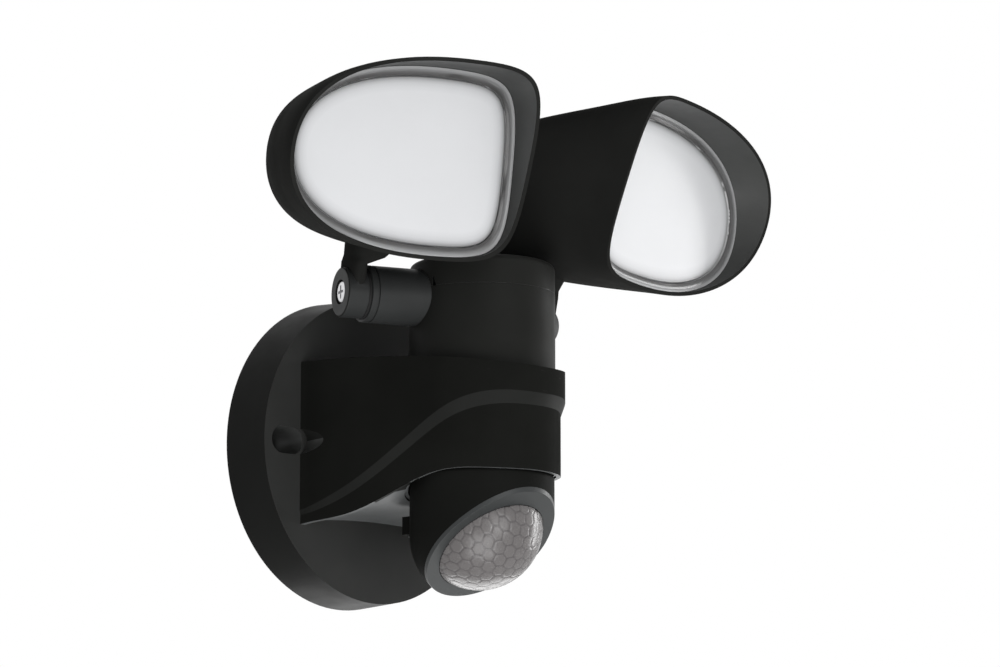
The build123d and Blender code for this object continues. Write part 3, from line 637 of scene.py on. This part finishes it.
def sensor_lens():
    """sliced ball with a groove on every line of the pattern and a skirt that seats in the bezel"""
    form = bmesh.new()
    bmesh.ops.create_grid(form, x_segments=pattern_steps[0], y_segments=pattern_steps[1], size=1.0)
    groove = form.verts.layers.float.new("ruled_line_and_rim_shadow")
    for vert in form.verts:
        u, v = vert.co.x * pattern_half[0], vert.co.y * pattern_half[1]
        share = line_share(u, v)
        vert[groove] = share / 2
        vert.co = ball_point(u, v, -cell_groove * share)
    slice_z = sqrt(dome_r**2 - dome_base_r**2)
    cut = [*form.verts, *form.edges, *form.faces]
    bmesh.ops.bisect_plane(form, geom=cut, plane_co=(0, 0, slice_z), plane_no=(0, 0, 1), clear_inner=True)
    rim = [e for e in form.edges if e.is_boundary]
    skirt = bmesh.ops.extrude_edge_only(form, edges=rim)
    low = [g for g in skirt["geom"] if isinstance(g, bmesh.types.BMVert)]
    # rim and skirt in the darkest colour: painted shadow where the lens seats in the bezel
    for vert in [v for e in rim if e.is_valid for v in e.verts] + low:
        vert[groove] = 1.0
    bmesh.ops.translate(form, verts=low, vec=(0, 0, -dome_skirt))
    place = face_matrix() @ Matrix.Translation((0, 0, -slice_z))
    bmesh.ops.transform(form, matrix=Matrix.Scale(MM, 4) @ place, verts=form.verts)
    bmesh.ops.recalc_face_normals(form, faces=form.faces)
    for face in form.faces:
        face.smooth = True
    piece = add_piece("sensor_lens", form, (detector_lens,), body_of_node["sensor_dome"])
    stand_in("sensor_dome")


sensor_lens()


# ---------------------------------------------------------------- floor, light and camera
def shown(nodes, links, hidden, seen):
    """one value where the camera sees the backdrop, also in a reflection or through glass, else another"""
    path = nodes.new("ShaderNodeLightPath")
    rays = path.outputs["Is Camera Ray"]
    for name in ("Is Glossy Ray", "Is Transmission Ray"):
        either = nodes.new("ShaderNodeMath")
        either.operation = "MAXIMUM"
        links.new(rays, either.inputs[0])
        links.new(path.outputs[name], either.inputs[1])
        rays = either.outputs[0]
    strength = nodes.new("ShaderNodeMapRange")
    strength.inputs["To Min"].default_value = hidden
    strength.inputs["To Max"].default_value = seen
    links.new(rays, strength.inputs["Value"])
    return strength.outputs["Result"]


def studio_floor():
    """pale floor far below the light, as wide as any view needs"""
    form = bmesh.new()
    bmesh.ops.create_grid(form, x_segments=1, y_segments=1, size=floor_half)
    bmesh.ops.translate(form, verts=form.verts, vec=(0, 0, floor_z))
    mesh = bpy.data.meshes.new("floor")
    form.to_mesh(mesh)
    form.free()
    material, nodes, links, shader = new_material("pale_floor")
    cloud = tinted(nodes, links, noise(nodes, links, 3.0), (0.78, 0.78, 0.78), (0.82, 0.82, 0.82))
    links.new(cloud, shader.inputs["Base Color"])
    shader.inputs["Roughness"].default_value = 0.7
    shader.inputs["Emission Color"].default_value = (1, 1, 1, 1)
    links.new(shown(nodes, links, 0.0, floor_glow), shader.inputs["Emission Strength"])
    mesh.materials.append(material)
    floor = bpy.data.objects.new("floor", mesh)
    bpy.context.scene.collection.objects.link(floor)


def studio_world():
    """white backdrop that lights the object less than it shows"""
    world = bpy.data.worlds.new("studio")
    world.use_nodes = True
    nodes, links = world.node_tree.nodes, world.node_tree.links
    shader = nodes["Background"]
    shader.inputs["Color"].default_value = (1, 1, 1, 1)
    links.new(shown(nodes, links, surround_light, backdrop_white), shader.inputs["Strength"])
    bpy.context.scene.world = world


def soft_light(name, place, aim, width, height, power):
    """lamp panel that faces its aim and isn't seen itself"""
    data = bpy.data.lights.new(name, "AREA")
    data.shape = "RECTANGLE"
    data.size, data.size_y = width, height
    data.energy = power
    lamp = bpy.data.objects.new(name, data)
    lamp.location = place
    lamp.rotation_mode = "QUATERNION"
    lamp.rotation_quaternion = (Vector(aim) - Vector(place)).to_track_quat("-Z", "Y")
    lamp.visible_camera = False
    bpy.context.scene.collection.objects.link(lamp)


def photo_camera():
    """the photograph's viewpoint: from the left, in front and slightly below"""
    azimuth, elevation, distance = radians(-46.25), radians(-9.73), 1.3575
    target = Vector((0.04502, -0.040, 0.04817))
    back = Vector((sin(azimuth) * cos(elevation), -cos(azimuth) * cos(elevation), sin(elevation)))
    data = bpy.data.cameras.new("camera")
    data.sensor_width = 36.0
    data.lens = 128.08
    data.clip_start, data.clip_end = 0.05, 50
    camera = bpy.data.objects.new("camera", data)
    camera.location = target + back * distance
    camera.rotation_mode = "QUATERNION"
    camera.rotation_quaternion = (-back).to_track_quat("-Z", "Y")
    bpy.context.scene.collection.objects.link(camera)
    bpy.context.scene.camera = camera


studio_floor()
studio_world()
soft_light("key", (-0.35, -1.88, -0.15), whole_middle, width=1.2, height=1.2, power=9.5)
soft_light("spark", (-0.33, -1.90, -0.30), detector_middle, width=0.16, height=0.16, power=2.0)
soft_light("below_left", (-0.30, -0.42, -0.46), body_middle, width=0.5, height=0.5, power=2.3)
soft_light("below_back", (0.38, 0.29, -0.44), body_underside, width=0.5, height=0.5, power=1.9)
soft_light("right", (1.4, -0.40, 0.0), detector_middle, width=0.3, height=0.8, power=6.0)
photo_camera()

scene = bpy.context.scene
scene.view_settings.view_transform = "Standard"
